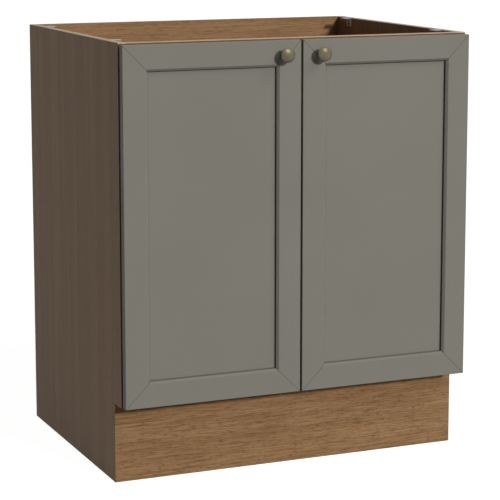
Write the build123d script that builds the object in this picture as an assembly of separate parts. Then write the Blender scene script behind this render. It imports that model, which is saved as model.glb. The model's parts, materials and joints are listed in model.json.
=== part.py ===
from build123d import *
import math
import os

# A two-door kitchen base cabinet, in millimetres.
# +Z is up and the doors face -Y. The origin is on the floor, under the middle of the whole cabinet.

# Carcass boards
cabinet_width = 700.0
cabinet_height = 815.0
side_depth = 538.0
board = 15.0
back_thickness = 3.0
toe_height = 150.0
toe_recess = 38.0
plinth_top_clearance = 1.0
top_rail_height = 70.0
back_edge_margin = 1.0

# Loose shelf and its pins
shelf_height = 480.0
shelf_setback = 22.0
shelf_side_clearance = 1.0
pin_row_from_front = 37.0
pin_row_from_rear = 64.0
pin_pitch = 32.0
pin_steps_each_way = 3
pin_radius = 2.5
pin_depth = 8.0
pin_foot_length = 9.0
pin_foot_width = 10.0
pin_foot_thickness = 4.0

# Worktop angles, one in each top corner
angle_leg = 17.0
angle_width = 20.0
angle_thickness = 1.5
angle_from_rear = 70.0
angle_from_front = 75.0
angle_hole_radius = 2.25
angle_hole_inset = 9.5
angle_screw_drops = (6.5, 12.5)

# Carcass fasteners
cam_radius = 7.5
cam_depth = 12.5
cam_from_end = 34.0
cam_bolt_radius = 3.0
cam_bolt_thread_radius = 2.5
cam_bolt_thread_length = 11.0
cam_bolt_past_cam = 4.0
dowel_radius = 4.0
dowel_in_side = 10.0
dowel_in_board = 20.0
cam_from_edge = 50.0
dowel_from_cam = 64.0
rail_cam_drop = 48.0
rail_dowel_drop = 20.0
nail_radius = 0.8
nail_length = 16.0
nail_head_radius = 2.5
nail_head_height = 0.8
nails_along_side = 4
nails_along_rail = 3

# Plinth corner blocks
block_leg = 28.0
block_height = 25.0
block_wall = 5.0
block_drop = 60.0

# Small wood screws
screw_radius = 1.75
screw_length = 11.0
screw_head_radius = 3.2
screw_head_height = 1.6

# Doors
door_thickness = 15.0
door_gap = 4.0
door_inset = 1.5
door_centre_gap = 4.0
door_top_drop = 3.5
door_bottom_rise = 1.5
frame_face = 43.5
frame_bevel = 4.5
frame_edge_round = 1.0
panel_recess = 8.5
panel_thickness = 4.0
groove_depth = 5.5
groove_clearance = 0.5
buffer_radius = 4.0
buffer_clearance = 0.3
buffer_round = 1.0
buffer_from_edge = 12.0
buffer_rail_drop = 20.0

# Door knobs
knob_projection = 27.0
knob_head_radius = 14.0
knob_dome_height = 8.5
knob_rim = 2.0
knob_head_flare = 3.0
knob_neck_radius = 4.5
knob_foot_radius = 7.5
knob_foot_height = 2.0
knob_from_edge = 35.0
knob_from_top = 25.5
knob_screw_radius = 2.0
knob_screw_bite = 9.0
knob_screw_head_radius = 4.0
knob_screw_head_height = 2.2
knob_hole_clearance = 0.25

# Concealed hinges: cup in the door, arm on the side, an outer and an inner link between them.
# Pivot places are for the shut door: in from the door's hinge edge, and into the door from its back.
hinge_from_door_end = 100.0
cup_radius = 17.5
cup_depth = 12.0
cup_wall = 0.7
cup_from_edge = 20.5
cup_rim_width = 0.7
cup_flange = 0.8
cup_wing_reach = 31.0
cup_wing_low = 4.0
cup_wing_high = 12.0
cup_wing_round = 4.0
cup_screw_spread = 24.0
cup_screw_offset = 6.0
tip_pivot = (10.05, 7.45)
mouth_pivot = (15.65, 1.7)
elbow_pivot = (19.95, 8.5)
edge_pivot = (6.2, 8.5)
pivot_radius = 1.0
eye_radius = 2.05
edge_eye_radius = 1.9
running_clearance = 0.05
open_pivot_clearance = 0.35
inner_link_half = 2.0
arm_inside_half = 2.5
arm_sheet = 2.0
outer_link_gap = 0.4
outer_link_sheet = 1.5
pivot_head = 0.2
arm_rise = 11.5
arm_front = 6.0
arm_rear = 58.0
arm_web = 1.5
arm_web_front = 9.0
plate_base = 2.2
plate_half = 8.0
plate_front = 18.0
plate_rear = 60.0
plate_wing_half = 22.0
plate_wing_width = 14.0
plate_round = 3.0
plate_screw_spread = 16.0
plate_screw_radius = 2.5
plate_screw_head_radius = 4.3
plate_boss_half = 2.4
plate_boss_front = 12.0
plate_boss_rear = 56.0
plate_boss_drop = 2.0
arm_screw_radius = 1.5
arm_screw_head_radius = 3.2
arm_screw_head_height = 1.5
arm_screw_places = (24.0, 48.0)

# Places worked out from the sizes
x_side = cabinet_width / 2
x_inside = x_side - board
overall_depth = knob_projection + door_thickness + door_gap + side_depth + back_thickness
y_back = overall_depth / 2
y_rear = y_back - back_thickness
y_front = y_rear - side_depth
y_door_back = y_front - door_gap
y_door_front = y_door_back - door_thickness
bottom_top = toe_height + board
bottom_middle = toe_height + board / 2
frame_width = frame_face + frame_bevel
door_width = (cabinet_width - 2 * door_inset - door_centre_gap) / 2
door_left = -x_side + door_inset
door_top = cabinet_height - door_top_drop
door_bottom = toe_height + door_bottom_rise
hinge_heights = (door_bottom + hinge_from_door_end, door_top - hinge_from_door_end)
pin_row_front = y_front + pin_row_from_front
pin_row_rear = y_rear - pin_row_from_rear
arm_half = arm_inside_half + arm_sheet
outer_link_inside = arm_half + outer_link_gap
outer_link_half = outer_link_inside + outer_link_sheet

RIGHT = Vector(1, 0, 0)
LEFT = Vector(-1, 0, 0)
BACK = Vector(0, 1, 0)
FORTH = Vector(0, -1, 0)
UP = Vector(0, 0, 1)
DOWN = Vector(0, 0, -1)


# Basic shapes
def block(x_low, x_high, y_low, y_high, z_low, z_high):
    """Box between two corners."""
    corner = (Align.MIN, Align.MIN, Align.MIN)
    return Pos(x_low, y_low, z_low) * Box(x_high - x_low, y_high - y_low, z_high - z_low, align=corner)


def rod(start, direction, radius, length):
    """Round bar from a point along a direction."""
    return Solid.make_cylinder(radius, length, Plane(origin=start, z_dir=direction))


def screw(seat, direction, radius, length, head_radius, head_height):
    """Screw whose head sits at seat and whose shank runs along direction."""
    return rod(seat, direction, radius, length) + rod(seat, direction * -1, head_radius, head_height)


def wood_screw(seat, direction):
    return screw(seat, direction, screw_radius, screw_length, screw_head_radius, screw_head_height)


def bar(start, end, radius, z_low, z_high):
    """Flat bar with round ends between two plan points."""
    run = Vector(*end) - Vector(*start)
    middle = (Vector(*end) + Vector(*start)) / 2
    turn = math.degrees(math.atan2(run.Y, run.X))
    slot = Pos(middle.X, middle.Y, z_low) * Rot(0, 0, turn) * SlotCenterToCenter(run.length, 2 * radius)
    return extrude(slot, z_high - z_low)


def flipped(shapes):
    """The same pieces on the other side of the cabinet."""
    return [mirror(shape, about=Plane.YZ) for shape in shapes]


def solids_of(shapes):
    return [solid for shape in shapes for solid in shape.solids()]


def save(name, shapes):
    """Writes one node, a single solid or a group of separate ones."""
    solids = solids_of(shapes)
    whole = solids[0] if len(solids) == 1 else Compound(children=solids)
    export_step(whole, f"parts/{name}.step")


# Carcass fasteners, all on the left; the right side has the mirror image
def cam_bolt(y, z):
    """Bolt screwed into the side, with its plain end in the cam."""
    inner = cam_from_end + cam_bolt_past_cam
    thread = rod((-x_inside, y, z), LEFT, cam_bolt_thread_radius, cam_bolt_thread_length)
    return thread + rod((-x_inside, y, z), RIGHT, cam_bolt_radius, inner)


def dowel(y, z):
    start = (-x_inside - dowel_in_side, y, z)
    return rod(start, RIGHT, dowel_radius, dowel_in_side + dowel_in_board)


def carcass_fasteners():
    """Cams, cam bolts and dowels of the bottom panel and the two top rails."""
    x_cam = -x_inside + cam_from_end
    bottom_rows = (y_front + cam_from_edge, y_rear - cam_from_edge)
    dowel_rows = (bottom_rows[0] + dowel_from_cam, bottom_rows[1] - dowel_from_cam)
    rail_middles = (y_front + board / 2, y_rear - board / 2)
    rail_cam_z = cabinet_height - rail_cam_drop
    rail_dowel_z = cabinet_height - rail_dowel_drop
    cams = [rod((x_cam, y, toe_height), UP, cam_radius, cam_depth) for y in bottom_rows]
    cams.append(rod((x_cam, y_front + board, rail_cam_z), FORTH, cam_radius, cam_depth))
    cams.append(rod((x_cam, y_rear, rail_cam_z), FORTH, cam_radius, cam_depth))
    bolts = [cam_bolt(y, bottom_middle) for y in bottom_rows]
    bolts += [cam_bolt(y, rail_cam_z) for y in rail_middles]
    dowels = [dowel(y, bottom_middle) for y in dowel_rows]
    dowels += [dowel(y, rail_dowel_z) for y in rail_middles]
    cams = [cam - bolts for cam in cams]
    return cams, bolts, dowels


def nail(x, z):
    """Back nail with its head flush in the back panel."""
    seat = (x, y_back - nail_head_height, z)
    return screw(seat, FORTH, nail_radius, nail_length, nail_head_radius, nail_head_height)


def back_nails():
    nails = []
    side_run = cabinet_height - 2 * board - toe_height
    for step in range(nails_along_side):
        z = toe_height + board + side_run * (step + 1) / (nails_along_side + 1)
        nails += [nail(-x_side + board / 2, z), nail(x_side - board / 2, z)]
    for step in range(nails_along_rail):
        x = -x_inside + 2 * x_inside * (step + 1) / (nails_along_rail + 1)
        nails += [nail(x, bottom_middle), nail(x, cabinet_height - board)]
    return nails


# Shelf, pins and worktop angles
def shelf_pin(y):
    """Pin with a flat foot that the shelf lies on."""
    x = -x_inside
    foot = block(x, x + pin_foot_length, y - pin_foot_width / 2, y + pin_foot_width / 2,
                 shelf_height - pin_foot_thickness, shelf_height)
    return foot + rod((x, y, shelf_height - pin_radius), LEFT, pin_radius, pin_depth)


def pin_holes():
    """Two columns of holes in the left side, for the shelf pins."""
    holes = []
    for y in (pin_row_front, pin_row_rear):
        for step in range(-pin_steps_each_way, pin_steps_each_way + 1):
            z = shelf_height - pin_radius + step * pin_pitch
            holes.append(rod((-x_inside, y, z), LEFT, pin_radius, pin_depth))
    return holes


def worktop_angle(y):
    """Sheet angle at the top of the left side, its flat leg level with the top."""
    x = -x_inside
    top = cabinet_height
    upright = block(x, x + angle_thickness, y - angle_width / 2, y + angle_width / 2, top - angle_leg, top)
    level = block(x, x + angle_leg, y - angle_width / 2, y + angle_width / 2, top - angle_thickness, top)
    angle = upright + level
    corners = angle.edges().filter_by(Axis.Z).group_by(Axis.X)[-1]
    corners += angle.edges().filter_by(Axis.X).group_by(Axis.Z)[0]
    angle = fillet(corners, angle_thickness)
    hole = rod((x + angle_hole_inset, y, top), DOWN, angle_hole_radius, angle_thickness)
    return angle - hole - angle_screws(y)


def angle_screws(y):
    seats = [(-x_inside + angle_thickness, y, cabinet_height - drop) for drop in angle_screw_drops]
    return [wood_screw(seat, LEFT) for seat in seats]


# Plinth corner blocks
def plinth_block():
    """Plastic corner block between the plinth and the left side."""
    y = y_front + toe_recess + board
    x = -x_inside
    z = toe_height - block_drop
    on_side = block(x, x + block_wall, y, y + block_leg, z - block_height, z)
    on_plinth = block(x, x + block_leg, y, y + block_wall, z - block_height, z)
    return on_side + on_plinth


def plinth_screws():
    y = y_front + toe_recess + board
    x = -x_inside
    z = toe_height - block_drop - block_height / 2
    reach = (block_leg + block_wall) / 2
    into_side = wood_screw((x + block_wall, y + reach, z), LEFT)
    into_plinth = wood_screw((x + reach, y + block_wall, z), FORTH)
    return [into_side, into_plinth]


# Hinges, all on the left door
def plan(pivot):
    """Plan point of a hinge pivot with the door shut."""
    return (door_left + pivot[0], y_door_back - pivot[1])


def both_sides(inner, outer):
    """Height spans of a pair of sheets either side of the hinge's middle plane."""
    return ((-outer, -inner), (inner, outer))


def hinge_cup(z):
    """Pressed cup with a rim and two screw wings on the door's back."""
    x = door_left + cup_from_edge
    centre = (x, y_door_back, z)
    rim_radius = cup_radius + cup_rim_width
    wings = block(x - cup_wing_low, x + cup_wing_high, y_door_back, y_door_back + cup_flange,
                  z - cup_wing_reach, z + cup_wing_reach)
    wings = fillet(wings.edges().filter_by(Axis.Y), cup_wing_round)
    shell = rod(centre, FORTH, cup_radius, cup_depth) + rod(centre, BACK, rim_radius, cup_flange) + wings
    mouth_start = (x, y_door_back + cup_flange, z)
    mouth = rod(mouth_start, FORTH, cup_radius - cup_wall, cup_depth + cup_flange - cup_wall)
    return shell - mouth - cup_pins(z) - cup_screws(z)


def cup_screws(z):
    x = door_left + cup_from_edge + cup_screw_offset
    y = y_door_back + cup_flange
    return [wood_screw((x, y, z + side * cup_screw_spread), FORTH) for side in (-1, 1)]


def cup_pins(z):
    """One pin across the cup at its edge side and two short ones near its mouth, ending in the cup's wall."""
    reach = cup_radius - cup_wall / 2
    inside = rod((door_left + cup_from_edge, y_door_back, z), FORTH, reach, cup_depth)
    x, y = plan(edge_pivot)
    pins = [rod((x, y, z - reach), UP, pivot_radius, 2 * reach)]
    x, y = plan(mouth_pivot)
    for low, high in both_sides(outer_link_inside, reach):
        pins.append(rod((x, y, z + low), UP, pivot_radius, high - low))
    return [pin & inside for pin in pins]


def arm_pins(z):
    """Elbow pin for the inner link, and two tip studs for the outer link."""
    x, y = plan(elbow_pivot)
    pins = [rod((x, y, z - arm_half), UP, pivot_radius, 2 * arm_half)]
    x, y = plan(tip_pivot)
    for low, high in both_sides(arm_inside_half, outer_link_half + pivot_head):
        pins.append(rod((x, y, z + low), UP, pivot_radius, high - low))
    return pins


def hinge_arm(z):
    """Channel on the mounting plate whose two cheeks reach into the cup as a bent nose."""
    x_base = -x_inside + plate_base
    x_top = -x_inside + arm_rise
    tip, elbow = plan(tip_pivot), plan(elbow_pivot)
    foot = (elbow[0], y_front + arm_front + eye_radius)
    arm = block(x_top - arm_web, x_top, y_front + arm_web_front, y_front + arm_rear,
                z - arm_half, z + arm_half)
    for low, high in both_sides(arm_inside_half, arm_half):
        arm += bar(tip, elbow, eye_radius, z + low, z + high)
        arm += bar(elbow, foot, eye_radius, z + low, z + high)
        arm += block(x_base, x_top, y_front + arm_front, y_front + arm_rear, z + low, z + high)
    return arm - arm_pins(z) - arm_screws(z)


def arm_screws(z):
    """Screws through the arm's web into the mounting plate."""
    x = -x_inside + arm_rise
    length = arm_rise - plate_base
    return [screw((x, y_front + place, z), LEFT, arm_screw_radius, length,
                  arm_screw_head_radius, arm_screw_head_height) for place in arm_screw_places]


def hinge_plate(z):
    """Cross-shaped mounting plate with a boss inside the arm."""
    x = -x_inside
    middle = y_front + pin_row_from_front
    base = block(x, x + plate_base, y_front + plate_front, y_front + plate_rear,
                 z - plate_half, z + plate_half)
    base = fillet(base.edges().filter_by(Axis.X), plate_round)
    wings = block(x, x + plate_base, middle - plate_wing_width / 2, middle + plate_wing_width / 2,
                  z - plate_wing_half, z + plate_wing_half)
    wings = fillet(wings.edges().filter_by(Axis.X), plate_round)
    boss_rise = arm_rise - arm_web - plate_boss_drop
    boss = block(x, x + boss_rise, y_front + plate_boss_front, y_front + plate_boss_rear,
                 z - plate_boss_half, z + plate_boss_half)
    return base + wings + boss - arm_screws(z) - plate_screws(z)


def plate_screws(z):
    x = -x_inside + plate_base
    y = y_front + pin_row_from_front
    length = screw_length + plate_base
    return [screw((x, y, z + side * plate_screw_spread), LEFT, plate_screw_radius, length,
                  plate_screw_head_radius, screw_head_height) for side in (-1, 1)]


def outer_links(z):
    """Two link plates from the arm's tip to the mouth of the cup."""
    tip, mouth = plan(tip_pivot), plan(mouth_pivot)
    links = []
    for low, high in both_sides(outer_link_inside, outer_link_half):
        link = bar(tip, mouth, eye_radius, z + low, z + high)
        for x, y in (tip, mouth):
            link -= rod((x, y, z + low), UP, pivot_radius + running_clearance, high - low)
        links.append(link)
    return links


def inner_link(z):
    """Link between the arm's cheeks, from the elbow to the pin at the cup's edge side."""
    elbow, edge = plan(elbow_pivot), plan(edge_pivot)
    low, width = z - inner_link_half, 2 * inner_link_half
    link = bar(elbow, edge, edge_eye_radius, low, low + width)
    link -= rod((*elbow, low), UP, pivot_radius + running_clearance, width)
    return link - rod((*edge, low), UP, pivot_radius + open_pivot_clearance, width)


# Doors, both made as the left one
def frame_profile():
    """Section of a frame member: across from the outer edge, and from the front to the back."""
    grooved = panel_recess + panel_thickness
    bottom = frame_width - groove_depth
    outline = Polyline(
        (0, frame_edge_round),
        (0, door_thickness),
        (frame_width, door_thickness),
        (frame_width, grooved),
        (bottom, grooved),
        (bottom, panel_recess),
        (frame_width, panel_recess),
        (frame_width, frame_bevel),
        (frame_face, 0),
        (frame_edge_round, 0),
    )
    corner = RadiusArc((frame_edge_round, 0), (0, frame_edge_round), frame_edge_round)
    return make_face(outline + corner)


def frame_member(origin, inward, along, length, corners):
    """Frame section run along one side of the door and mitred to the given front outline."""
    section = Plane(origin=origin, x_dir=inward, z_dir=along) * frame_profile()
    front = Plane(origin=(0, y_door_back, 0), x_dir=RIGHT, z_dir=FORTH)
    outline = front * make_face(Polyline(*corners, close=True))
    return extrude(section, length, dir=along) & extrude(outline, door_thickness)


def door_frame():
    """Hinge stile, meeting stile, top rail and bottom rail of the left door."""
    left, right = door_left, door_left + door_width
    low, high = door_bottom, door_top
    in_left, in_right = left + frame_width, right - frame_width
    in_low, in_high = low + frame_width, high - frame_width
    y = y_door_front
    hinge_stile = frame_member((left, y, low), RIGHT, UP, high - low,
                               [(left, low), (in_left, in_low), (in_left, in_high), (left, high)])
    meeting_stile = frame_member((right, y, high), LEFT, DOWN, high - low,
                                 [(right, high), (in_right, in_high), (in_right, in_low), (right, low)])
    top_rail = frame_member((left, y, high), DOWN, RIGHT, door_width,
                            [(left, high), (in_left, in_high), (in_right, in_high), (right, high)])
    bottom_rail = frame_member((right, y, low), UP, LEFT, door_width,
                               [(right, low), (in_right, in_low), (in_left, in_low), (left, low)])
    return hinge_stile, meeting_stile, top_rail, bottom_rail


def door_panel():
    edge = frame_width - groove_depth + groove_clearance
    return block(door_left + edge, door_left + door_width - edge,
                 y_door_front + panel_recess, y_door_front + panel_recess + panel_thickness,
                 door_bottom + edge, door_top - edge)


def knob_place():
    return (door_left + door_width - knob_from_edge, y_door_front, door_top - knob_from_top)


def door_knob():
    """Turned mushroom knob: foot, waisted neck, and a head with a rounded rim under a low dome."""
    dome_start = knob_projection - knob_dome_height
    head_under = dome_start - knob_rim
    under_edge = knob_head_radius - knob_rim
    flare = knob_foot_radius - knob_neck_radius
    foot_end = knob_foot_height + flare
    neck_end = head_under - knob_head_flare
    foot_edge = (knob_foot_radius, knob_foot_height)
    outline = Polyline((0, knob_projection), (0, 0), (knob_foot_radius, 0), foot_edge)
    outline += CenterArc((knob_foot_radius, foot_end), flare, 180, 90)
    outline += Polyline((knob_neck_radius, foot_end), (knob_neck_radius, neck_end), (under_edge, head_under))
    outline += CenterArc((under_edge, dome_start), knob_rim, -90, 90)
    outline += TangentArc((0, knob_projection), (knob_head_radius, dome_start), tangent=(1, 0))
    place = Plane(origin=knob_place(), x_dir=RIGHT, z_dir=DOWN)
    knob = revolve(place * make_face(outline), Axis(knob_place(), FORTH))
    return knob - knob_screw()


def knob_screw():
    """Screw through the door from behind into the knob."""
    x, y, z = knob_place()
    length = door_thickness + knob_screw_bite
    return screw((x, y_door_back, z), FORTH, knob_screw_radius, length,
                 knob_screw_head_radius, knob_screw_head_height)


def knob_hole():
    x, y, z = knob_place()
    return rod((x, y_door_back, z), FORTH, knob_screw_radius + knob_hole_clearance, door_thickness)


def door_buffers():
    """Soft discs on the door's back that meet the front rail and the bottom panel."""
    x = door_left + door_width - buffer_from_edge
    buffers = []
    for z in (bottom_middle, cabinet_height - buffer_rail_drop):
        disc = rod((x, y_door_back, z), BACK, buffer_radius, door_gap - buffer_clearance)
        buffers.append(fillet(disc.edges().sort_by(Axis.Y)[-1], buffer_round))
    return buffers


# Carcass boards
def side_panel(cutters):
    """Left side, notched at the front for the toe space."""
    panel = block(-x_side, -x_inside, y_front, y_rear, 0, cabinet_height)
    toe = block(-x_side, -x_inside, y_front, y_front + toe_recess + board, 0, toe_height)
    return panel - toe - cutters


def top_rail(y_low, cutters):
    low = cabinet_height - top_rail_height
    return block(-x_inside, x_inside, y_low, y_low + board, low, cabinet_height) - cutters


def main():
    os.makedirs("parts", exist_ok=True)
    angle_rows = (y_front + angle_from_front, y_rear - angle_from_rear)
    cams, bolts, dowels = carcass_fasteners()
    nails = back_nails()
    pins = [shelf_pin(y) for y in (pin_row_front, pin_row_rear)]
    angles = [worktop_angle(y) for y in angle_rows]
    held_angles = [one for y in angle_rows for one in angle_screws(y)]
    held_plinth = plinth_screws()
    held_plates = [one for z in hinge_heights for one in plate_screws(z)]

    side = side_panel(pin_holes() + bolts + dowels + held_angles + held_plinth + held_plates + nails)
    save("left_side_panel", [side])
    save("right_side_panel", flipped([side]))

    inside_cuts = bolts + dowels + cams
    inside_cuts += flipped(inside_cuts)
    bottom = block(-x_inside, x_inside, y_front, y_rear, toe_height, bottom_top)
    save("bottom_panel", [bottom - inside_cuts - nails])
    save("front_top_rail", [top_rail(y_front, inside_cuts)])
    save("rear_top_rail", [top_rail(y_rear - board, inside_cuts + nails)])
    back = block(-x_side + back_edge_margin, x_side - back_edge_margin, y_rear, y_back,
                 toe_height, cabinet_height - back_edge_margin)
    save("back_panel", [back - nails])
    save("back_nails", nails)

    y_plinth = y_front + toe_recess
    plinth = block(-x_side, x_side, y_plinth, y_plinth + board, 0, toe_height - plinth_top_clearance)
    save("plinth_board", [plinth - held_plinth - flipped(held_plinth)])
    corner = plinth_block() - held_plinth
    save("plinth_corner_blocks", [corner] + flipped([corner]))
    save("plinth_block_screws", held_plinth + flipped(held_plinth))

    shelf_edge = x_inside - shelf_side_clearance
    shelf = block(-shelf_edge, shelf_edge, y_front + shelf_setback, y_rear,
                  shelf_height, shelf_height + board)
    save("shelf", [shelf])
    save("shelf_pins", pins + flipped(pins))
    save("worktop_angles", angles + flipped(angles))
    save("angle_screws", held_angles + flipped(held_angles))
    save("cam_locks", cams + flipped(cams))
    save("cam_bolts", bolts + flipped(bolts))
    save("dowels", dowels + flipped(dowels))

    plates = [hinge_plate(z) for z in hinge_heights]
    arms = [hinge_arm(z) for z in hinge_heights]
    pivots = [one for z in hinge_heights for one in arm_pins(z)]
    held_arms = [one for z in hinge_heights for one in arm_screws(z)]
    save("hinge_plate_screws", held_plates + flipped(held_plates))
    save("hinge_arm_screws", held_arms + flipped(held_arms))
    save("hinge_arm_pins", pivots + flipped(pivots))

    stile, meeting, top, low = door_frame()
    cups = [hinge_cup(z) for z in hinge_heights]
    cup_held = [one for z in hinge_heights for one in cup_screws(z)]
    cup_x = door_left + cup_from_edge
    bores = [rod((cup_x, y_door_back, z), FORTH, cup_radius, cup_depth) for z in hinge_heights]
    left_pieces = {
        "hinge_plates": plates,
        "hinge_arms": arms,
        "outer_links": [one for z in hinge_heights for one in outer_links(z)],
        "inner_links": [inner_link(z) for z in hinge_heights],
        "hinge_cups": cups,
        "cup_pins": [one for z in hinge_heights for one in cup_pins(z)],
        "cup_screws": cup_held,
        "door_hinge_stile": [stile - bores - cup_held],
        "door_meeting_stile": [meeting],
        "door_top_rail": [top - knob_hole()],
        "door_bottom_rail": [low],
        "door_panel": [door_panel()],
        "door_knob": [door_knob()],
        "knob_screw": [knob_screw()],
        "door_buffers": door_buffers(),
    }
    for name, shapes in left_pieces.items():
        save(f"left_{name}", shapes)
        save(f"right_{name}", flipped(shapes))


main()
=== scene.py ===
"""Looks of a two-door kitchen base cabinet, in metres, in the frame of its CAD model."""
import json
import math

import bmesh
import bpy
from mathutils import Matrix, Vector


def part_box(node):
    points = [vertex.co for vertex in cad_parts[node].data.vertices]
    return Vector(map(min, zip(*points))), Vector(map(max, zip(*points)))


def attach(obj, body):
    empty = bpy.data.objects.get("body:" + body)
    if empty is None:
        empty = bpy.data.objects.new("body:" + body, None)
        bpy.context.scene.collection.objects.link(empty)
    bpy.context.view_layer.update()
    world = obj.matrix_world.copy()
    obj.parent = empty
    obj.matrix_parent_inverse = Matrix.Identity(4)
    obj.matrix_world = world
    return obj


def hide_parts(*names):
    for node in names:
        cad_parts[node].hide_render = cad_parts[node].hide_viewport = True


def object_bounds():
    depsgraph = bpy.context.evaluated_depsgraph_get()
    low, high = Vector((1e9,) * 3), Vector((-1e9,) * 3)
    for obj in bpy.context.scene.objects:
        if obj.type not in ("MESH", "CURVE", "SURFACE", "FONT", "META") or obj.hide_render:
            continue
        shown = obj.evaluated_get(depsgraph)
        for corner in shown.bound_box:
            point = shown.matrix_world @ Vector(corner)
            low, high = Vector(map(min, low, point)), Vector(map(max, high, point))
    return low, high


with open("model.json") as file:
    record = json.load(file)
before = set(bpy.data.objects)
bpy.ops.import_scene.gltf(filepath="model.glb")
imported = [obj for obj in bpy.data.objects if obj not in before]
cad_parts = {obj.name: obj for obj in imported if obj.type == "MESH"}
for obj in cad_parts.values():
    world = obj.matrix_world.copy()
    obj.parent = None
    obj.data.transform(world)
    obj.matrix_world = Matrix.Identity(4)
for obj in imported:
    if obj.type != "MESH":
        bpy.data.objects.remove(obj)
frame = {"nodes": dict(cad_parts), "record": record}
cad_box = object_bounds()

nodes = frame["nodes"]
bodies = frame["record"]["behaviour"]["bodies"]
body_of = {node: body for body, members in bodies.items() for node in members}

# Camera, fitted to the photograph's corners, with angles in degrees
CAMERA_PLACE = (-1.45445, -3.41464, 1.06956)
CAMERA_YAW = 23.2135
CAMERA_PITCH = 9.0828
CAMERA_LENS = 136.607
CAMERA_SHIFT = -0.1

# Lamps, with angles in degrees above the floor and to the right of the front
KEY_ABOVE = 20.0
KEY_RIGHT = 16.0
KEY_STRENGTH = 2.08
KEY_SOFTNESS = 6.0
REAR_ABOVE = 8.0
REAR_RIGHT = 180.0
REAR_STRENGTH = 0.7
REAR_SOFTNESS = 10.0
BOX_PLACE = (1.6, -1.7, 2.8)
BOX_SIZE = 1.1
BOX_POWER = 22.0
GLEAM_PLACE = (0.25, -1.35, 2.35)
GLEAM_SIZE = 1.4
GLEAM_POWER = 30.0
LAMP_AIM = (0.25, -0.26, 0.75)

# Surroundings
AMBIENT = 0.04
FLOOR_SIZE = 60.0
FLOOR_GREY = 0.40
FLOOR_GLOW = 0.96
FLOOR_ROUGHNESS = 0.9

# Linear colours
WHITE = (1.0, 1.0, 1.0)
WOOD_PALE = (0.420, 0.245, 0.121)
WOOD_MIDDLE = (0.328, 0.186, 0.087)
WOOD_DARK = (0.105, 0.052, 0.021)
RAW_BOARD = (0.80, 0.68, 0.52)
RAW_FLAKE = (0.55, 0.43, 0.30)
BAND_PALE = (0.62, 0.47, 0.33)
DOOR_PAINT = (0.234, 0.226, 0.191)
# Dark colour of the mitre joints and of the painted shade where frame and panel meet
GROOVE_AND_SHADE = (0.030, 0.027, 0.022)
BRASS_PALE = (0.180, 0.157, 0.086)
BRASS_DARK = (0.125, 0.104, 0.053)
ZINC = (0.40, 0.38, 0.34)
NICKEL = (0.56, 0.55, 0.53)
BLACKENED = (0.035, 0.034, 0.033)
HARDBOARD = (0.27, 0.175, 0.100)
BROWN_PLASTIC = (0.075, 0.043, 0.024)
SOFT_PLASTIC = (0.70, 0.69, 0.66)
BEECH = (0.52, 0.34, 0.19)

# Wood print: texture cells in a metre along the grain and across it, and strengths of the colours
WANDER_CELLS = (3.0, 14.0)
BAND_CELLS = (1.0, 22.0)
SOFT_BAND_CELLS = (0.5, 22.0)
RING_CELLS = (8.0, 640.0)
STREAK_CELLS = (38.0, 820.0)
PORE_CELLS = (90.0, 760.0)
SWAY = 0.003
BAND_HALF_RANGE = 0.11
SOFT_BAND_HALF_RANGE = 0.05
RING_DARKNESS = 0.48
STREAK_DARKNESS = 0.72
PORE_DARKNESS = 0.90
PORE_RELIEF = -0.6
# Painted shade on the faces of some boards that face the front
FRONT_SHADE_DARKNESS = 0.6

# Bare top edge of the boards
FLAKE_CELLS = (500.0, 500.0, 900.0)
FLAKE_STRENGTH = 0.6
GRIT_CELLS = 900.0
GRIT_STRENGTH = 0.3
BARE_ROUGHNESS = 0.8
BAND_THICKNESS = 0.0012
BAND_FADE = 0.0001

# Seams of the doors: dark mitre joints, and painted shade where frame and panel meet, less on faces
# that face up
MITRE_HALF_WIDTH = 0.0009
MITRE_DARKNESS = 0.9
SEAM_SHADE_WIDTH = 0.0008
SEAM_SHADE_DARKNESS = 0.85
LEDGE_SHADE_SHARE = 0.45
PANEL_SHADE_WIDTH = 0.0020
PANEL_SHADE_SHARE = 0.6

# Eased edges, which are those that turn by more than an angle in degrees
BOARD_EASE = 0.0004
DOOR_EASE = 0.0005
METAL_EASE = 0.0002
EASE_ANGLE = 40.0
EASE_SEGMENTS = 2
WELD_REACH = 0.000005

# Screw heads: a cross's reach and width are shares of the head's radius
HEAD_ROUNDING = 0.0006
HEAD_SLICE = 0.0001
CROSS_REACH = 0.60
CROSS_HALF_WIDTH = 0.13
CROSS_TAPER = 0.65
CROSS_DEPTH = 0.0011
CROSS_CLEARANCE = 0.0005

# Cam locks in the rails face the rear, along y, and those in the bottom panel face down
REARWARD = 1

# Range that most of a noise texture's values lie in
NOISE_LOW, NOISE_HIGH = 0.3, 0.7

# Colour sockets of Blender's Mix node, whose names repeat
COLOR_A, COLOR_B, COLOR_RESULT = 6, 7, 2


def shade(color, share):
    """A colour made darker or lighter."""
    return tuple(channel * share for channel in color)


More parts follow.
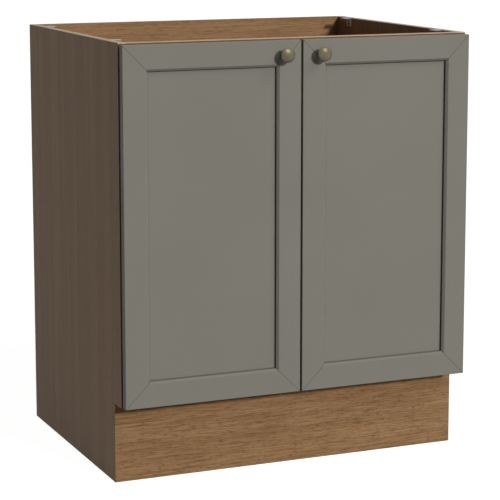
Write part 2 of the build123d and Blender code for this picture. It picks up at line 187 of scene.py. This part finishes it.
class Graph:
    """Short names for the shader nodes of one material."""

    def __init__(self, name):
        self.material = bpy.data.materials.new(name)
        self.material.use_nodes = True
        self.tree = self.material.node_tree
        self.shader = self.tree.nodes["Principled BSDF"]
        coordinates = self.add("ShaderNodeTexCoord")
        self.place = coordinates.outputs["Object"]
        self.normal = coordinates.outputs["Normal"]

    def add(self, kind, **settings):
        """A new node with some of its properties set."""
        node = self.tree.nodes.new(kind)
        for key, value in settings.items():
            setattr(node, key, value)
        return node

    def feed(self, socket, value):
        """Links an output into a socket, or sets a plain value on it."""
        if isinstance(value, bpy.types.NodeSocket):
            self.tree.links.new(value, socket)
        elif isinstance(value, tuple) and len(value) == 3 and len(socket.default_value) == 4:
            socket.default_value = (*value, 1.0)
        else:
            socket.default_value = value

    def parts(self, vector):
        """The X, Y and Z of a vector, or in their place the red, green and blue of a colour."""
        node = self.add("ShaderNodeSeparateXYZ")
        self.feed(node.inputs["Vector"], vector)
        return node.outputs

    def stretch(self, scale, source=None):
        """Coordinates with a scale for each axis."""
        mapping = self.add("ShaderNodeMapping")
        self.feed(mapping.inputs["Vector"], source or self.place)
        self.feed(mapping.inputs["Scale"], scale)
        return mapping.outputs["Vector"]

    def noise(self, vector, scale=1.0, detail=2.0, roughness=0.5):
        """Smooth noise around a half."""
        node = self.add("ShaderNodeTexNoise")
        self.feed(node.inputs["Vector"], vector)
        for name, value in (("Scale", scale), ("Detail", detail), ("Roughness", roughness)):
            self.feed(node.inputs[name], value)
        return node.outputs["Fac"]

    def cells(self, vector, scale=1.0):
        """A random number for each cell."""
        node = self.add("ShaderNodeTexVoronoi")
        self.feed(node.inputs["Vector"], vector)
        self.feed(node.inputs["Scale"], scale)
        return self.parts(node.outputs["Color"])["X"]

    def span(self, value, low, high, to_low=0.0, to_high=1.0):
        """A value's range made into another range, and cut off at its ends."""
        node = self.add("ShaderNodeMapRange")
        for index, item in enumerate((value, low, high, to_low, to_high)):
            self.feed(node.inputs[index], item)
        return node.outputs["Result"]

    def spread(self, noise, to_low=0.0, to_high=1.0):
        """A noise's usual range made into another range."""
        return self.span(noise, NOISE_LOW, NOISE_HIGH, to_low, to_high)

    def math(self, operation, first, second=0.0):
        """One step of arithmetic."""
        node = self.add("ShaderNodeMath", operation=operation)
        self.feed(node.inputs[0], first)
        self.feed(node.inputs[1], second)
        return node.outputs["Value"]

    def inside(self, value, low, high):
        """How far a value is inside a range, from the nearer end."""
        from_low = self.math("SUBTRACT", value, low)
        from_high = self.math("SUBTRACT", high, value)
        return self.math("MINIMUM", from_low, from_high)

    def mix(self, share, first, second, strength=1.0):
        """Second colour over the first, by a share that is scaled by a strength."""
        if strength != 1.0:
            share = self.math("MULTIPLY", share, strength)
        node = self.add("ShaderNodeMix", data_type="RGBA")
        self.feed(node.inputs["Factor"], share)
        self.feed(node.inputs[COLOR_A], first)
        self.feed(node.inputs[COLOR_B], second)
        return node.outputs[COLOR_RESULT]

    def bump(self, height, distance, strength):
        """Small relief on the material's surface."""
        node = self.add("ShaderNodeBump")
        self.feed(node.inputs["Height"], height)
        self.feed(node.inputs["Distance"], distance)
        self.feed(node.inputs["Strength"], strength)
        self.feed(self.shader.inputs["Normal"], node.outputs["Normal"])

    def finish(self, color, roughness, specular=0.5, metallic=0.0):
        """The material, with its main values set."""
        self.feed(self.shader.inputs["Base Color"], color)
        self.feed(self.shader.inputs["Roughness"], roughness)
        self.feed(self.shader.inputs["Specular IOR Level"], specular)
        self.feed(self.shader.inputs["Metallic"], metallic)
        return self.material


# Materials
def wood_print(name, grain, figure=1.0, tone=1.0, soft=False, top=None, painted_front_shade=False):
    """Printed wood grain along one axis.

    Figure is the strength of the dark lines. A soft print has smooth, strong bands.
    Top is the colour of a bare top edge. The front flag paints shade on the faces that face the
    front, and a tone below one darkens the whole print as painted shade.
    """
    g = Graph(name)

    def grained(cells, source=None, **settings):
        run, across = cells
        scale = tuple(run if axis == grain else across for axis in "XYZ")
        return g.noise(g.stretch(scale, source), **settings)

    sway = g.add("ShaderNodeVectorMath", operation="MULTIPLY_ADD")
    for index, item in enumerate((grained(WANDER_CELLS), (SWAY, SWAY, SWAY), g.place)):
        g.feed(sway.inputs[index], item)
    swayed = sway.outputs["Vector"]
    band_cells = SOFT_BAND_CELLS if soft else BAND_CELLS
    bands = grained(band_cells, swayed, detail=4.0, roughness=0.65)
    rings = grained(RING_CELLS, swayed)
    streaks = grained(STREAK_CELLS, swayed, roughness=0.6)
    pores = grained(PORE_CELLS, swayed, detail=1.0)

    half = SOFT_BAND_HALF_RANGE if soft else BAND_HALF_RANGE
    paleness = g.span(bands, 0.5 - half, 0.5 + half)
    color = g.mix(paleness, shade(WOOD_MIDDLE, tone), shade(WOOD_PALE, tone))
    color = g.mix(g.span(rings, 0.44, 0.66), color, WOOD_DARK, RING_DARKNESS * figure)
    color = g.mix(g.span(streaks, 0.50, 0.70), color, WOOD_DARK, STREAK_DARKNESS * figure)
    color = g.mix(g.span(pores, 0.60, 0.74), color, WOOD_DARK, PORE_DARKNESS * figure)
    roughness = g.spread(streaks, 0.50, 0.64)
    relief = g.math("ADD", streaks, g.math("MULTIPLY", pores, PORE_RELIEF))
    g.bump(relief, distance=0.00012, strength=0.5)

    # Painted shade on the faces that face the front
    if painted_front_shade:
        front = g.span(g.parts(g.normal)["Y"], -0.80, -0.90)
        color = g.mix(front, color, WOOD_DARK, FRONT_SHADE_DARKNESS)
    if top:
        flakes = g.cells(g.stretch(FLAKE_CELLS))
        grit = g.noise(g.place, scale=GRIT_CELLS)
        bare = g.mix(g.span(flakes, 0.55, 0.95), top, RAW_FLAKE, FLAKE_STRENGTH)
        bare = g.mix(g.span(grit, 0.45, 0.75), bare, RAW_FLAKE, GRIT_STRENGTH)
        band_low = cad_box[1][2] - BAND_THICKNESS
        band = g.span(g.parts(g.place)["Z"], band_low - BAND_FADE, band_low)
        color = g.mix(band, color, bare)
        roughness = g.math("MAXIMUM", roughness, g.math("MULTIPLY", band, BARE_ROUGHNESS))
    return g.finish(color, roughness, specular=0.14)


def door_places(g):
    """Distances of a point from its door's nearest upright edge and from its nearest level edge."""
    x, _, z = g.parts(g.place)
    hinge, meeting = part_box("right_door_hinge_stile"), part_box("right_door_meeting_stile")
    from_side = g.inside(g.math("ABSOLUTE", x), meeting[0][0], hinge[1][0])
    from_end = g.inside(z, hinge[0][2], hinge[1][2])
    return from_side, from_end


def painted(name, framing):
    """Satin spray paint with faint orange peel, dark mitre joints and painted shade.

    The frame has dark joints at its mitres, and frame and panel get painted shade where they meet.
    """
    g = Graph(name)
    cloud = g.noise(g.place, scale=5.0, detail=3.0)
    speck = g.noise(g.place, scale=420.0, roughness=0.6)
    cloudy = g.span(cloud, 0.35, 0.65)
    color = g.mix(cloudy, shade(DOOR_PAINT, 0.98), shade(DOOR_PAINT, 1.02))
    color = g.mix(g.span(speck, 0.55, 0.80), color, shade(DOOR_PAINT, 0.80), strength=0.10)

    from_side, from_end = door_places(g)
    inset = g.math("MINIMUM", from_side, from_end)
    low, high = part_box("right_door_hinge_stile")
    frame_width = high[0] - low[0]
    if framing:
        apart = g.math("ABSOLUTE", g.math("SUBTRACT", from_side, from_end))
        mitre = g.span(apart, 0.0, MITRE_HALF_WIDTH, to_low=1.0, to_high=0.0)
        color = g.mix(mitre, color, GROOVE_AND_SHADE, MITRE_DARKNESS)
        # Painted shade on the frame's inner edge, less on faces that face up
        level = g.span(g.parts(g.normal)["Z"], 0.5, 0.9, to_low=1.0, to_high=LEDGE_SHADE_SHARE)
        seam_shade = g.math("MULTIPLY", g.span(inset, frame_width - SEAM_SHADE_WIDTH, frame_width), level)
    else:
        # Painted shade on the panel along the frame's inner edge
        seam_shade_end = frame_width + PANEL_SHADE_WIDTH
        seam_shade = g.span(inset, frame_width, seam_shade_end, to_low=PANEL_SHADE_SHARE, to_high=0.0)
    color = g.mix(seam_shade, color, GROOVE_AND_SHADE, SEAM_SHADE_DARKNESS)
    g.bump(g.noise(g.place, scale=700.0), distance=0.00006, strength=0.35)
    return g.finish(color, g.spread(cloud, 0.50, 0.58), specular=0.16)


def aged_brass(name):
    """Lacquered brass, a little darkened in patches, with a fine grain."""
    g = Graph(name)
    patina = g.noise(g.place, scale=140.0, detail=3.0, roughness=0.6)
    speck = g.noise(g.place, scale=1200.0, detail=3.0, roughness=0.7)
    color = g.mix(g.span(patina, 0.30, 0.62), BRASS_DARK, BRASS_PALE)
    color = g.mix(g.span(speck, 0.55, 0.75), color, BRASS_DARK, strength=0.2)
    g.bump(g.noise(g.place, scale=1500.0), distance=0.00003, strength=0.4)
    return g.finish(color, g.spread(patina, 0.40, 0.34), metallic=0.45)


def plated(name, color, roughness, spangle, metallic=1.0):
    """Plated steel with faint cloudy grains and fine scratches."""
    g = Graph(name)
    scratches = g.noise(g.stretch((60.0, 900.0, 1400.0)), detail=3.0, roughness=0.6)
    tone = g.mix(g.cells(g.place, scale=spangle), shade(color, 0.82), color)
    tone = g.mix(g.span(scratches, 0.55, 0.80), tone, shade(color, 0.6), strength=0.3)
    g.bump(scratches, distance=0.00002, strength=0.4)
    return g.finish(tone, g.spread(scratches, *roughness), metallic=metallic)


def hardboard(name):
    """Pressed fibre board, printed brown."""
    g = Graph(name)
    fibre = g.noise(g.stretch((900.0, 300.0, 900.0)), detail=4.0, roughness=0.7)
    cloud = g.noise(g.place, scale=18.0, detail=3.0)
    color = g.mix(g.spread(cloud), shade(HARDBOARD, 0.93), shade(HARDBOARD, 1.07))
    color = g.mix(g.span(fibre, 0.50, 0.75), color, shade(HARDBOARD, 0.55), strength=0.5)
    g.bump(fibre, distance=0.0001, strength=0.5)
    return g.finish(color, g.spread(fibre, 0.70, 0.85), specular=0.2)


def moulded(name, color, roughness):
    """Moulded plastic with a fine spark-eroded grain."""
    g = Graph(name)
    grain = g.noise(g.place, scale=1600.0, roughness=0.6)
    tone = g.mix(g.spread(g.noise(g.place, scale=90.0)), shade(color, 0.9), color)
    g.bump(grain, distance=0.00004, strength=0.5)
    return g.finish(tone, g.spread(grain, *roughness))


def turned_beech(name):
    """Pale dowel wood with short dark rays."""
    g = Graph(name)
    rays = g.noise(g.stretch((40.0, 700.0, 700.0)), detail=3.0, roughness=0.6)
    color = g.mix(g.span(rays, 0.35, 0.70), BEECH, shade(BEECH, 0.6))
    g.bump(rays, distance=0.00008, strength=0.4)
    return g.finish(color, g.spread(rays, 0.55, 0.70))


# CAD nodes
def both(*names):
    """Names of the left and of the right pieces."""
    return [f"{side}_{name}" for side in ("left", "right") for name in names]


def ease_edges(piece, width):
    """Rounds a piece's sharp edges."""
    bevel = piece.modifiers.new("eased edges", "BEVEL")
    bevel.width = width
    bevel.segments = EASE_SEGMENTS
    bevel.limit_method = "ANGLE"
    bevel.angle_limit = math.radians(EASE_ANGLE)


def dress(material, ease, *names):
    """Gives nodes a material and eases their sharp edges."""
    for name in names:
        piece = nodes[name]
        piece.data.materials.clear()
        piece.data.materials.append(material)
        if ease:
            weld = piece.modifiers.new("joined faces", "WELD")
            weld.merge_threshold = WELD_REACH
            ease_edges(piece, ease)
            piece.modifiers.new("flat faces", "WEIGHTED_NORMAL")


# Screws with drive recesses, which stand for the CAD's plain ones
def loose_parts(mesh):
    """Groups of a mesh's vertices that hang together."""
    seen = set()
    parts = []
    for first in mesh.verts:
        if first in seen:
            continue
        seen.add(first)
        part, front = [], [first]
        while front:
            vertex = front.pop()
            part.append(vertex)
            near = [edge.other_vert(vertex) for edge in vertex.link_edges]
            fresh = [other for other in near if other not in seen]
            seen.update(fresh)
            front += fresh
        parts.append(part)
    return parts


def head_of(part, squat):
    """Middle of a screw head's face, the way it faces, and the head's radius.

    A screw's head is its wider end. A cam lock is squat: wider than it is deep.
    """
    low = Vector([min(vertex.co[i] for vertex in part) for i in range(3)])
    high = Vector([max(vertex.co[i] for vertex in part) for i in range(3)])
    size = high - low
    axis = (min if squat else max)(range(3), key=lambda i: size[i])
    middle = (low + high) / 2

    def radius_at(end):
        rim = [vertex.co for vertex in part if abs(vertex.co[axis] - end) < HEAD_SLICE]
        offsets = [place - middle for place in rim]
        return max(math.sqrt(offset.length_squared - offset[axis] ** 2) for offset in offsets)

    forward = axis == REARWARD if squat else radius_at(high[axis]) > radius_at(low[axis])
    facing = Vector((0.0, 0.0, 0.0))
    facing[axis] = 1.0 if forward else -1.0
    end = high[axis] if forward else low[axis]
    middle[axis] = end
    return middle, facing, radius_at(end)


def add_cross(mesh, middle, facing, radius):
    """Tapered cross that reaches into a screw head from outside."""
    turn = facing.to_track_quat("Z", "X").to_matrix()
    reach, half = CROSS_REACH * radius, CROSS_HALF_WIDTH * radius
    arm = [(reach, -half), (reach, half), (half, half)]
    outline = []
    for _ in range(4):
        outline += arm
        arm = [(-y, x) for x, y in arm]
    rings = []
    for height, share in ((CROSS_CLEARANCE, 1.0), (-CROSS_DEPTH, CROSS_TAPER)):
        corners = [Vector((x * share, y * share, height)) for x, y in outline]
        rings.append([mesh.verts.new(middle + turn @ corner) for corner in corners])
    for ring in rings:
        mesh.faces.new(ring)
    for i in range(len(outline)):
        j = i - 1
        mesh.faces.new((rings[0][i], rings[0][j], rings[1][j], rings[1][i]))


def mesh_object(name, mesh):
    """New object from a bmesh, which is freed."""
    data = bpy.data.meshes.new(name)
    mesh.to_mesh(data)
    mesh.free()
    made = bpy.data.objects.new(name, data)
    bpy.context.collection.objects.link(made)
    return made


def driven(node, material, squat=False):
    """The same screws or cam locks with rounded heads and cross recesses."""
    screws, crosses = bmesh.new(), bmesh.new()
    screws.from_mesh(nodes[node].data)
    bmesh.ops.remove_doubles(screws, verts=screws.verts, dist=WELD_REACH)
    for part in loose_parts(screws):
        add_cross(crosses, *head_of(part, squat))
    bmesh.ops.recalc_face_normals(crosses, faces=crosses.faces)
    piece, cutter = mesh_object(f"{node}_driven", screws), mesh_object("cutter", crosses)
    ease_edges(piece, HEAD_ROUNDING)
    recess = piece.modifiers.new("recess", "BOOLEAN")
    recess.operation = "DIFFERENCE"
    recess.solver = "EXACT"
    recess.object = cutter
    evaluated = piece.evaluated_get(bpy.context.evaluated_depsgraph_get())
    finished = bpy.data.meshes.new_from_object(evaluated)
    piece.modifiers.clear()
    piece.data = finished
    bpy.data.objects.remove(cutter)
    finished.shade_smooth()
    finished.set_sharp_from_angle(angle=math.radians(EASE_ANGLE))
    finished.materials.clear()
    finished.materials.append(material)
    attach(piece, body_of[node])
    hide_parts(node)


# Floor, light and camera
def seen_strength(tree, to_light, to_eye):
    """Strength of a glow that differs by the kind of ray.

    Rays that light the part take one value. Rays that see or mirror the glow take the other.
    """
    rays = tree.nodes.new("ShaderNodeLightPath")
    seen = rays.outputs["Is Camera Ray"]
    for kind in ("Is Glossy Ray", "Is Transmission Ray"):
        either = tree.nodes.new("ShaderNodeMath")
        either.operation = "MAXIMUM"
        tree.links.new(seen, either.inputs[0])
        tree.links.new(rays.outputs[kind], either.inputs[1])
        seen = either.outputs["Value"]
    strength = tree.nodes.new("ShaderNodeMapRange")
    tree.links.new(seen, strength.inputs["Value"])
    strength.inputs["To Min"].default_value = to_light
    strength.inputs["To Max"].default_value = to_eye
    return strength.outputs["Result"]


def white_floor():
    """Pale floor that shows white to the camera and keeps the cabinet's shadow."""
    bpy.ops.mesh.primitive_plane_add(size=FLOOR_SIZE)
    floor = bpy.context.object
    floor.name = "floor"
    g = Graph("pale_floor")
    g.finish(shade(WHITE, FLOOR_GREY), FLOOR_ROUGHNESS, specular=0.0)
    glow = seen_strength(g.tree, to_light=0.0, to_eye=FLOOR_GLOW)
    g.feed(g.shader.inputs["Emission Color"], WHITE)
    g.feed(g.shader.inputs["Emission Strength"], glow)
    floor.data.materials.append(g.material)


def lamp(name, kind, power):
    """A new lamp."""
    made = bpy.data.objects.new(name, bpy.data.lights.new(name, kind))
    made.data.energy = power
    bpy.context.collection.objects.link(made)
    return made


def distant(name, strength, softness, above, right):
    """A far lamp that leaves no highlight."""
    far = lamp(name, "SUN", strength)
    far.data.angle = math.radians(softness)
    far.rotation_euler = (math.radians(90 - above), 0, math.radians(right))
    far.visible_glossy = False


def panel(name, place, size, power):
    """A square lamp that faces the cabinet."""
    square = lamp(name, "AREA", power)
    square.data.size = size
    square.location = place
    aim = Vector(LAMP_AIM) - Vector(place)
    square.rotation_euler = aim.to_track_quat("-Z", "Y").to_euler()
    return square


def studio_light():
    """Soft light from the front right, a weak fill from behind and an even surround.

    The gleam makes highlights alone, and the other lamps make none.
    """
    world = bpy.data.worlds.new("studio")
    bpy.context.scene.world = world
    world.use_nodes = True
    background = world.node_tree.nodes["Background"]
    background.inputs["Color"].default_value = (*WHITE, 1.0)
    surround = seen_strength(world.node_tree, to_light=AMBIENT, to_eye=1.0)
    world.node_tree.links.new(surround, background.inputs["Strength"])
    distant("key", KEY_STRENGTH, KEY_SOFTNESS, KEY_ABOVE, KEY_RIGHT)
    distant("rear", REAR_STRENGTH, REAR_SOFTNESS, REAR_ABOVE, REAR_RIGHT)
    panel("box", BOX_PLACE, BOX_SIZE, BOX_POWER).visible_glossy = False
    panel("gleam", GLEAM_PLACE, GLEAM_SIZE, GLEAM_POWER).visible_diffuse = False


def photo_camera():
    """Camera that sees the cabinet as the photograph does."""
    camera = bpy.data.objects.new("camera", bpy.data.cameras.new("camera"))
    camera.data.lens = CAMERA_LENS
    camera.data.shift_y = CAMERA_SHIFT
    camera.location = CAMERA_PLACE
    camera.rotation_euler = (math.radians(90 - CAMERA_PITCH), 0, math.radians(-CAMERA_YAW))
    bpy.context.collection.objects.link(camera)
    bpy.context.scene.camera = camera


# The sides' print is darkened by its tone as painted shade, and their front faces get painted shade
upright = wood_print("wood_upright", "Z", figure=0.4, tone=0.87, soft=True,
                     top=RAW_BOARD, painted_front_shade=True)
dress(upright, BOARD_EASE, *both("side_panel"))
dress(wood_print("wood_level", "X"), BOARD_EASE, "plinth_board", "shelf")
# The rear rail's print is darkened by its tone as painted shade
calm = wood_print("wood_level_calm", "X", figure=0.7, tone=0.88)
dress(calm, BOARD_EASE, "rear_top_rail")
# Painted shade on the bottom panel's front face
front_shaded = wood_print("wood_level_shaded_front", "X", painted_front_shade=True)
dress(front_shaded, BOARD_EASE, "bottom_panel")
# Painted shade on the front rail's front face
pale_edged = wood_print("wood_level_pale_edge", "X", top=BAND_PALE, painted_front_shade=True)
dress(pale_edged, BOARD_EASE, "front_top_rail")
dress(hardboard("hardboard"), 0, "back_panel")
dress(painted("frame_paint", framing=True), DOOR_EASE,
      *both("door_hinge_stile", "door_meeting_stile", "door_top_rail", "door_bottom_rail"))
dress(painted("panel_paint", framing=False), DOOR_EASE, *both("door_panel"))
dress(aged_brass("aged_brass"), 0, *both("door_knob"))
zinc = plated("zinc_plate", ZINC, roughness=(0.45, 0.60), spangle=700.0, metallic=0.7)
nickel = plated("nickel_plate", NICKEL, roughness=(0.18, 0.32), spangle=1200.0)
blackened = plated("blackened_steel", BLACKENED, roughness=(0.35, 0.5), spangle=900.0)
dress(zinc, METAL_EASE, "worktop_angles", "shelf_pins", "cam_bolts", "back_nails")
dress(nickel, METAL_EASE, "hinge_arm_pins",
      *both("hinge_plates", "hinge_arms", "hinge_cups", "cup_pins", "outer_links", "inner_links"))
brown_plastic = moulded("brown_plastic", BROWN_PLASTIC, roughness=(0.45, 0.6))
dress(brown_plastic, METAL_EASE, "plinth_corner_blocks")
soft_plastic = moulded("soft_plastic", SOFT_PLASTIC, roughness=(0.35, 0.5))
dress(soft_plastic, 0, *both("door_buffers"))
dress(turned_beech("beech"), 0, "dowels")
for name in ("plinth_block_screws", *both("knob_screw")):
    driven(name, zinc)
for name in ("hinge_plate_screws", "hinge_arm_screws", *both("cup_screws")):
    driven(name, nickel)
driven("angle_screws", blackened)
driven("cam_locks", zinc, squat=True)

white_floor()
studio_light()
photo_camera()
bpy.context.scene.view_settings.view_transform = "Standard"
